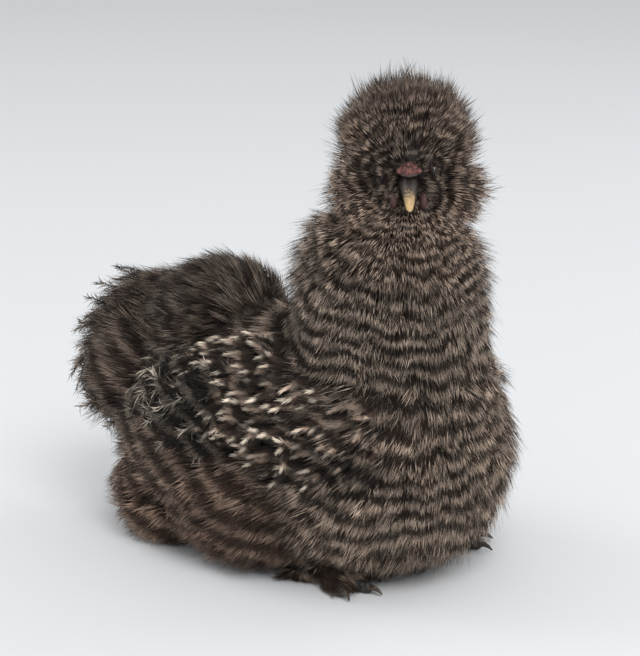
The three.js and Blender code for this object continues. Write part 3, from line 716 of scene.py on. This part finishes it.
def feather_marks(feathers, of_feather, along, spread, random):
    rows = {key: values[of_feather] for key, values in feathers.items()}
    return {
        "spread": spread,
        "along": along,
        "place": rows["place"],
        "jitter": rows["jitter"],
        "pale": rows["pale"],
        "brown": rows["brown"],
        "tone": rows["tone"] + 0.6 * random.standard_normal(len(of_feather)),
        "frost": rows["frost"],
    }


root_points = mixed(hide, corners, weights)
for word, side in (("left", 1), ("right", -1)):
    candidates = np.flatnonzero((tuft_region == "wing") & (root_points[:, 0] * side > 0))
    candidates = random.permutation(candidates)
    rows = candidates[spaced(root_points[candidates], COVERT_SPACING)]
    count = len(rows)
    behind = passing(root_points[rows, 1], -98, 144)
    coverts = {
        "root": root_points[rows] + normals[rows] * 2.5,
        "normal": normals[rows],
        "lie": tufts["lie"][rows] + np.array([0, 0, -0.12]) + 0.16 * random.standard_normal((count, 3)),
        "place": places[rows],
        "length": 15 + 6 * behind + 4 * random.random(count),
        "lift": 15 + 3 * random.standard_normal(count),
        "bend": np.full(count, 0.10),
        "half": 3.3 + 1.1 * behind,
        "fray": np.full(count, 0.35),
        "pale": np.full(count, 0.45),
        "brown": np.full(count, 0.4),
        "tone": 1.1 * random.standard_normal(count),
        "frost": (0.25 + 0.75 * random.random(count)) * passing(root_points[rows, 1], -88, 25),
        "jitter": 0.1 * random.standard_normal(count),
    }
    of_feather, paths, across, along, spread = vanes(random, coverts, COVERT_BARBS)
    marks = feather_marks(coverts, of_feather, along, spread, random)
    widths = 0.26 * (0.8 + 0.4 * random.random(len(of_feather)))
    coats.append(blades(f"coverts_{word}", paths, widths, across, marks))

    rear = candidates[(root_points[candidates, 1] > -6) & (root_points[candidates, 2] < 122)]
    rows = rear[spaced(root_points[rear], FLIGHT_SPACING)]
    count = len(rows)
    flights = {
        "root": root_points[rows] + normals[rows] * 6,
        "normal": normals[rows],
        "lie": tufts["lie"][rows] + np.stack([0 * rows, 0 * rows, 0.25 - 0.75 * random.random(count)], -1),
        "place": places[rows],
        "length": 38 + 5 * random.standard_normal(count),
        "lift": 12 + 5 * random.standard_normal(count),
        "bend": np.full(count, 0.2),
        "half": np.full(count, 5.5),
        "fray": np.full(count, 1.15),
        "pale": np.full(count, 0.2),
        "brown": np.full(count, 0.0),
        "tone": random.standard_normal(count),
        "frost": np.ones(count),
        "jitter": 0.1 * random.standard_normal(count),
    }
    of_feather, paths, across, along, spread = vanes(random, flights, FLIGHT_BARBS)
    marks = feather_marks(flights, of_feather, along, spread, random)
    marks["frost"] = np.where(random.random(len(of_feather)) < 0.45, 0.8, 0.0)
    marks["along"] = np.maximum(marks["along"], 0.6)
    widths = 0.23 * (0.7 + 0.6 * random.random(len(of_feather)))
    coats.append(blades(f"flight_wisps_{word}", paths, widths, across, marks))


# The tail of a silkie has no stiff quills: its longest plumes are soft and fray into curling wisps
# at the rear.
WISP_SPACING = 8.5
WISP_BARBS = 44
rear = np.flatnonzero((tuft_region == "tail") & (root_points[:, 1] > 100))
rear = random.permutation(rear)
rows = rear[spaced(root_points[rear], WISP_SPACING)]
count = len(rows)
wisps = {
    "root": root_points[rows] + normals[rows] * 3,
    "normal": normals[rows],
    "lie": tufts["lie"][rows],
    "place": places[rows],
    "length": 32 + 4 * random.standard_normal(count),
    "lift": 30 + 8 * random.standard_normal(count),
    "bend": 0.15 + 0.12 * random.random(count),
    "half": np.full(count, 4.0),
    "fray": np.full(count, 1.2),
    "pale": np.full(count, 0.3),
    "brown": np.full(count, 0.2),
    "tone": random.standard_normal(count),
    "frost": np.where(random.random(count) < 0.25, 0.3, 0.05),
    "jitter": 0.1 * random.standard_normal(count),
}
of_feather, paths, across, along, spread = vanes(random, wisps, WISP_BARBS)
marks = feather_marks(wisps, of_feather, along, spread, random)
widths = 0.26 * (0.7 + 0.6 * random.random(len(of_feather)))
coats.append(blades("tail_wisps", paths, widths, across, marks))


# The plumage is near-black brown barred with warm grey, and cream at the coverts' tips. Silk of this
# kind is dull and darker toward the root, partly the grey down's own colour and partly painted shade
# deep in the coat. The bare skin of the face is dark mulberry.
class Value:
    """A socket on which sums are written as plain Python."""

    def __init__(self, finish, socket):
        self.finish = finish
        self.socket = socket

    def maths(self, operation, *others):
        return self.finish.node("ShaderNodeMath", {"operation": operation}, dict(enumerate(others)))

    def __add__(self, other):
        return self.maths("ADD", self, other)

    def __sub__(self, other):
        return self.maths("SUBTRACT", self, other)

    def __mul__(self, other):
        return self.maths("MULTIPLY", self, other)

    def __rsub__(self, other):
        return self.maths("SUBTRACT", other, self)

    __radd__ = __add__
    __rmul__ = __mul__

    def sine(self):
        return self.maths("SINE", self)

    def above(self, low, high):
        """0 below low, 1 above high and smooth between."""
        return self.finish.node(
            "ShaderNodeMapRange", {"interpolation_type": "SMOOTHSTEP"}, {0: self, 1: low, 2: high}
        )


class Finish:
    """A procedural material, built node by node."""

    def __init__(self, name, **constants):
        self.material = bpy.data.materials.new(name)
        self.material.use_nodes = True
        self.tree = self.material.node_tree
        self.shader = next(one for one in self.tree.nodes if one.type == "BSDF_PRINCIPLED")
        for socket, value in constants.items():
            self.shader.inputs[socket.replace("_", " ")].default_value = value

    def node(self, kind, settings, values, output=0):
        made = self.tree.nodes.new(kind)
        for name, setting in settings.items():
            setattr(made, name, setting)
        for socket, value in values.items():
            if isinstance(value, Value):
                self.tree.links.new(value.socket, made.inputs[socket])
            else:
                made.inputs[socket].default_value = value
        return Value(self, made.outputs[output])

    def attribute(self, name):
        return self.node("ShaderNodeAttribute", {"attribute_name": name}, {}, "Fac")

    def place(self):
        return self.node("ShaderNodeTexCoord", {}, {}, "Object")

    def noise(self, scale, detail):
        values = {"Scale": scale, "Detail": detail, "Vector": self.place()}
        return self.node("ShaderNodeTexNoise", {}, values, "Fac")

    def along_direction(self, place, direction):
        """How far a place lies along a direction."""
        values = {0: place, 1: tuple(direction)}
        return self.node("ShaderNodeVectorMath", {"operation": "DOT_PRODUCT"}, values, "Value")

    def mix(self, factor, low, high):
        return self.node("ShaderNodeMix", {"data_type": "RGBA"}, {0: factor, 6: low, 7: high}, 2)

    def shaded(self, colour, amount):
        """A colour made darker or lighter by an amount that changes over the surface."""
        return self.node("ShaderNodeVectorMath", {"operation": "SCALE"}, {0: colour, "Scale": amount})

    def give(self, **sockets):
        for name, value in sockets.items():
            self.tree.links.new(value.socket, self.shader.inputs[name.replace("_", " ")])

    def bump(self, height, strength, distance):
        values = {"Strength": strength, "Distance": distance, "Height": height}
        self.give(Normal=self.node("ShaderNodeBump", {}, values))

    def put_on(self, piece):
        piece.data.materials.clear()
        piece.data.materials.append(self.material)


DARK = (0.0085, 0.0055, 0.0042, 1)
BROWN = (0.082, 0.046, 0.031, 1)
PALE = (0.78, 0.63, 0.505, 1)
CREAM = (0.74, 0.64, 0.52, 1)
TAN = (0.66, 0.445, 0.315, 1)
MULBERRY = (0.035, 0.016, 0.018, 1)


def plumage(name):
    finish = Finish(name, Roughness=0.72)
    finish.shader.inputs["Specular IOR Level"].default_value = 0.3
    along = finish.attribute("along")
    close = (finish.attribute("phase") * math.tau).sine()
    wide = (finish.attribute("wide_phase") * math.tau).sine() * 0.95
    share = finish.attribute("wide")
    wave = close * (1 - share) + wide * share
    bars = (wave + finish.noise(260, 2) * 1.5 - 0.75).above(-0.15, 0.9)
    ground = finish.mix(finish.attribute("brown"), DARK, BROWN)
    light_bar = finish.mix(finish.attribute("brown"), PALE, TAN)
    colour = finish.mix((bars * 0.95 + 0.04) * finish.attribute("pale"), ground, light_bar)
    frost = finish.attribute("frost") * along.above(0.72, 0.92)
    colour = finish.mix(frost, colour, CREAM)
    # Random tone per barb, times a darkening toward each barb's root that is partly the down's own grey
    # and partly painted shade deep in the coat.
    light = (finish.attribute("tone") * 0.27 + 1.0) * (along.above(0.0, 0.8) * 0.82 + 0.18)
    colour = finish.shaded(colour, light * (finish.noise(45, 3) * 1.3 + 0.35))
    colour = finish.mix(finish.attribute("bare"), colour, MULBERRY)
    finish.give(Base_Color=colour)
    return finish


feather_finish = plumage("barred plumage")
for piece in coats:
    feather_finish.put_on(piece)
feather_finish.put_on(skin)

# The bill is two halves of horn that meet at the gape: yellowish at the tip, and streaked dark grey
# where they leave the brow.
horn = Finish("streaked horn", Roughness=0.42)
back_along_bill = horn.along_direction(horn.place(), head_turned[:, 1])
bill_start = float(np.dot(on_head([0, -16, -3]) * MM, head_turned[:, 1]))
bill_end = float(np.dot(on_head([0, -42, -10]) * MM, head_turned[:, 1]))
toward_tip = horn.node("ShaderNodeMapRange", {}, {0: back_along_bill, 1: bill_start, 2: bill_end})
streaks = horn.noise(900, 4)
horn_mask = (toward_tip + streaks * 0.6 - 0.3).above(0.48, 0.84)
horn_colour = horn.mix(horn_mask, (0.028, 0.020, 0.016, 1), (0.56, 0.37, 0.17, 1))
horn_colour = horn.shaded(horn_colour, horn.noise(400, 3) * 0.5 + 0.75)
horn.give(Base_Color=horn_colour)
horn.bump(streaks, 0.25, 0.0003)
for node in ("beak_upper", "beak_lower"):
    horn.put_on(bpy.data.objects[node])

# The walnut comb and the small wattles are soft pebbled flesh of a dull mulberry red. The comb's
# foot passes into the grey skin over the nostrils.
flesh = Finish("mulberry comb", Roughness=0.55)
pebbles = flesh.noise(700, 3)
flesh_colour = flesh.mix(pebbles.above(0.35, 0.65), (0.045, 0.015, 0.015, 1), (0.19, 0.062, 0.050, 1))
cere_colour = flesh.mix(pebbles, (0.030, 0.024, 0.024, 1), (0.20, 0.165, 0.155, 1))
up_head = flesh.along_direction(flesh.place(), head_turned[:, 2])
comb_foot = float(np.dot(on_head([0, -24, 3.6]) * MM, head_turned[:, 2]))
comb_brow = float(np.dot(on_head([0, -24, 6.6]) * MM, head_turned[:, 2]))
redness = (up_head + pebbles * 0.0016 - 0.0008).above(comb_foot, comb_brow)
flesh_colour = flesh.mix(redness, cere_colour, flesh_colour)
flesh.give(Base_Color=flesh_colour)
flesh.bump(pebbles, 0.5, 0.0006)
flesh.put_on(bpy.data.objects["comb"])
wattle_flesh = Finish("dark wattle", Roughness=0.6)
wattle_pebbles = wattle_flesh.noise(800, 3)
wattle_colour = wattle_flesh.mix(wattle_pebbles, (0.020, 0.009, 0.009, 1), (0.120, 0.050, 0.042, 1))
wattle_flesh.give(Base_Color=wattle_colour)
wattle_flesh.bump(wattle_pebbles, 0.5, 0.0006)
for node in ("wattle_left", "wattle_right"):
    wattle_flesh.put_on(bpy.data.objects[node])

# The eyes are wet balls set in the skull, dark brown, each with a round pupil looking out to its
# own side.
EYE_AT = (13.5, -10, 1.5)
EYE_RADIUS = 4.6
for word, side in (("left", 1), ("right", -1)):
    eye_finish = Finish(f"dark {word} eye", Roughness=0.06)
    eye_centre = on_head([EYE_AT[0] * side, EYE_AT[1], EYE_AT[2]])
    outward = head_turned @ np.array([side * 0.94, -0.34, 0])
    from_centre = eye_finish.node("ShaderNodeVectorMath", {"operation": "SUBTRACT"}, {
        0: eye_finish.place(), 1: tuple(eye_centre * MM),
    })
    facing = eye_finish.along_direction(from_centre, outward / (EYE_RADIUS * MM))
    iris = eye_finish.mix(facing.above(0.86, 0.89), (0.022, 0.011, 0.006, 1), (0.003, 0.002, 0.002, 1))
    eye_finish.give(Base_Color=iris)
    eye_finish.put_on(bpy.data.objects[f"eye_{word}"])

# Each lid is a soft fold of dark creased skin that rolls round the eye. It starts as a ring and is
# turned to face the way the eye looks.
LID = {"major_radius": 4.7, "minor_radius": 1.15, "major_segments": 40, "minor_segments": 14}
LID_TURN = math.radians(72)
lids = []
for side in (1, -1):
    deselect()
    bpy.ops.mesh.primitive_torus_add(**LID)
    ring = bpy.context.object
    ring_points = points_of(ring.data) * MM
    turned = np.array(Matrix.Rotation(side * LID_TURN, 3, "Y"))
    ring_points = ring_points @ turned.T + np.array([EYE_AT[0] * side, EYE_AT[1], EYE_AT[2]])
    move_points(ring.data, on_head(ring_points))
    lids.append(ring)
chosen(*lids)
bpy.ops.object.join()
eyelids = bpy.context.object
eyelids.name = "eyelids"
bpy.ops.object.shade_smooth()
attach(eyelids, "root")
lid_finish = Finish("dark lid skin", Roughness=0.8)
creases = lid_finish.noise(1400, 4)
lid_colour = lid_finish.mix(creases, (0.006, 0.004, 0.004, 1), (0.020, 0.011, 0.011, 1))
lid_finish.give(Base_Color=lid_colour)
lid_finish.bump(creases, 0.5, 0.0004)
lid_finish.put_on(eyelids)

# The feet are dark slate, plated with small scales, five toes each, and folded under the belly. Shank
# and toes are round limbs grown together, and feathers grow on the shank and down the outer toes.
HOCK = (42, 8, 22)
ANKLE = (46, 62, 11)
STAGGER = 15
TOE_RADIUS = 4.2
TOES = [(-24, 26, 0.95), (2, 34, 1), (30, 29, 0.95), (158, 17, 0.85), (196, 20, 0.8)]


def limb_form(line, radii):
    """A round limb along a line of points, closed over both ends."""
    line = np.array(line, float)
    radii = np.array(radii, float)

    def form(u, v):
        reach = u * (len(line) - 1)
        low = np.clip(np.floor(reach).astype(int), 0, len(line) - 2)
        share = (reach - low)[:, None]
        middle = line[low] * (1 - share) + line[low + 1] * share
        ahead = unit_rows(line[low + 1] - line[low])
        side = unit_rows(np.cross(ahead, np.array([0.31, 0.17, 0.93])))
        up = np.cross(side, ahead)
        radius = np.interp(reach, np.arange(len(line)), radii) * np.minimum(1, np.sin(np.pi * u) * 5)
        return middle + (side * np.cos(v)[:, None] + up * np.sin(v)[:, None]) * radius[:, None]

    return form


FOOT_TUFTS = 260
FOOT_VOXEL = 0.0011
FEATHERED_REACH = 24
ANKLE_TOP = 24
SOLE = 0.05


def outer_upper(side, ankle):
    """Foot feathers grow on the shank and down the outer toes, not on soles or toe tips."""

    def want(corners, middles, faces):
        from_ankle = np.linalg.norm(middles - ankle, axis=1)
        outer = np.clip((side * (middles[:, 0] - ankle[0]) + 8) / 10, 0.1, 1)
        near = np.clip((FEATHERED_REACH - from_ankle) / 6, 0.02, 1)
        return outer * (faces[:, 2] > 0) * near * (middles[:, 2] < ANKLE_TOP)

    return want


def leg_point(across, forward, up, side):
    return np.array([side * across, -forward + (STAGGER if side < 0 else 0), up], float)


foot_finish = Finish("slate scales", Roughness=0.6)
scales = foot_finish.node(
    "ShaderNodeTexVoronoi", {}, {"Vector": foot_finish.place(), "Scale": 420.0}, "Distance"
)
foot_colour = foot_finish.mix(scales.above(0.2, 0.7), (0.040, 0.034, 0.032, 1), (0.014, 0.011, 0.010, 1))
foot_finish.give(Base_Color=foot_colour)
foot_finish.bump(1 - scales, 0.7, 0.0008)
claw_finish = Finish("dark claw horn", Roughness=0.4)
claw_grain = claw_finish.noise(600, 3)
claw_colour = claw_finish.mix(claw_grain, (0.020, 0.014, 0.011, 1), (0.085, 0.060, 0.040, 1))
claw_finish.give(Base_Color=claw_colour)
claw_finish.bump(claw_grain, 0.3, 0.0003)
for word, side in (("left", 1), ("right", -1)):
    hock, ankle = leg_point(*HOCK, side), leg_point(*ANKLE, side)
    limbs = [drawn_out(limb_form([hock, (hock + ankle) / 2, ankle], [7, 6, 6.6]), 20, 18)]
    for heading, length, slim in TOES:
        turn = side * math.radians(heading)
        ahead = np.array([math.sin(turn), -math.cos(turn), 0])
        radius = TOE_RADIUS * slim
        line = []
        for t in (0, 0.36, 0.7, 1):
            point = ankle + ahead * t * length
            point[2] = between((ANKLE[2] - 2, radius * 0.8), min(1, t * 1.7))
            line.append(point)
        line.append(line[-1] + ahead * radius * 0.6)
        limbs.append(drawn_out(limb_form(line, radius * np.array([1.2, 1.1, 1, 0.78, 0.5])), 22, 14))
    foot = fused(limbs, FOOT_VOXEL, f"foot_{word}")
    applied(foot, "SMOOTH", factor=0.5, iterations=3)
    soles = points_of(foot.data)
    soles[:, 2] = np.maximum(soles[:, 2], SOLE)
    move_points(foot.data, soles)
    unwrap(foot)
    corners, weights, places, normals = samples(foot, outer_upper(side, ankle), random, FOOT_TUFTS)
    foot_roots = mixed(soles, corners, weights)
    drooped = unit_rows(foot_roots - ankle - np.array([0, 12, 0])) - np.array([0, 0, 0.3])
    foot_tufts = {
        "root": foot_roots + normals * 0.6,
        "normal": normals,
        "lie": unit_rows(drooped),
        "place": places,
        "length": 13 + 3 * random.standard_normal(FOOT_TUFTS),
        "lift": 22 + 6 * random.standard_normal(FOOT_TUFTS),
        "bend": np.full(FOOT_TUFTS, 0.3),
        "fan": np.full(FOOT_TUFTS, 16.0),
        "half": np.full(FOOT_TUFTS, 1.2),
        "draw": np.full(FOOT_TUFTS, 0.6),
        "width": np.full(FOOT_TUFTS, 0.2),
        "pale": np.full(FOOT_TUFTS, 0.35),
        "frost": np.zeros(FOOT_TUFTS),
        "brown": np.full(FOOT_TUFTS, 0.4),
        "tone": random.standard_normal(FOOT_TUFTS),
        "jitter": 0.1 * random.standard_normal(FOOT_TUFTS),
    }
    of_tuft = np.repeat(np.arange(FOOT_TUFTS), BARBS)
    spread = np.tile(np.linspace(-1, 1, BARBS), FOOT_TUFTS)
    paths, across = barb_paths(random, foot_tufts, of_tuft, spread)
    widths = foot_tufts["width"][of_tuft] * (0.75 + 0.5 * random.random(len(of_tuft)))
    marks = marks_of(foot_tufts, of_tuft, spread, random)
    feather_finish.put_on(blades(f"foot_feathers_{word}", paths, widths, across, marks))
    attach(foot, "root")
    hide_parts(f"leg_{word}")
    foot_finish.put_on(foot)
    for toe in range(len(TOES)):
        claw_finish.put_on(bpy.data.objects[f"claw_{word}_{toe + 1}"])

# A plain pale floor and soft studio light: one broad lamp above the camera, a fill from the left, a
# rim from behind and a bright room.
deselect()
bpy.ops.mesh.primitive_circle_add(vertices=96, radius=9, fill_type="NGON")
floor = bpy.context.object
floor.name = "floor"
floor_finish = Finish("pale floor", Roughness=0.85)
floor_finish.give(Base_Color=floor_finish.mix(
    floor_finish.noise(1.2, 2), (0.74, 0.75, 0.76, 1), (0.77, 0.78, 0.79, 1),
))
floor_finish.put_on(floor)


LAMP_AIM = Vector((0, 0, 0.1))


def soft_lamp(name, place, size, power):
    bpy.ops.object.light_add(type="AREA", location=place)
    lamp = bpy.context.object
    lamp.name = name
    lamp.data.shape = "DISK"
    lamp.data.size = size
    lamp.data.energy = power
    lamp.rotation_mode = "QUATERNION"
    lamp.rotation_quaternion = (Vector(place) - LAMP_AIM).to_track_quat("Z", "Y")


soft_lamp("key", (-1.1, -1.4, 2.0), 1.5, 34)
soft_lamp("fill", (1.8, -1.0, 1.2), 1.6, 9)
soft_lamp("rim", (-0.6, 2.2, 1.8), 1.4, 14)
world = bpy.data.worlds.new("pale room")
world.use_nodes = True
world.node_tree.nodes["Background"].inputs["Color"].default_value = (0.86, 0.88, 0.90, 1)
world.node_tree.nodes["Background"].inputs["Strength"].default_value = 0.78
bpy.context.scene.world = world
bpy.context.scene.view_settings.view_transform = "Standard"
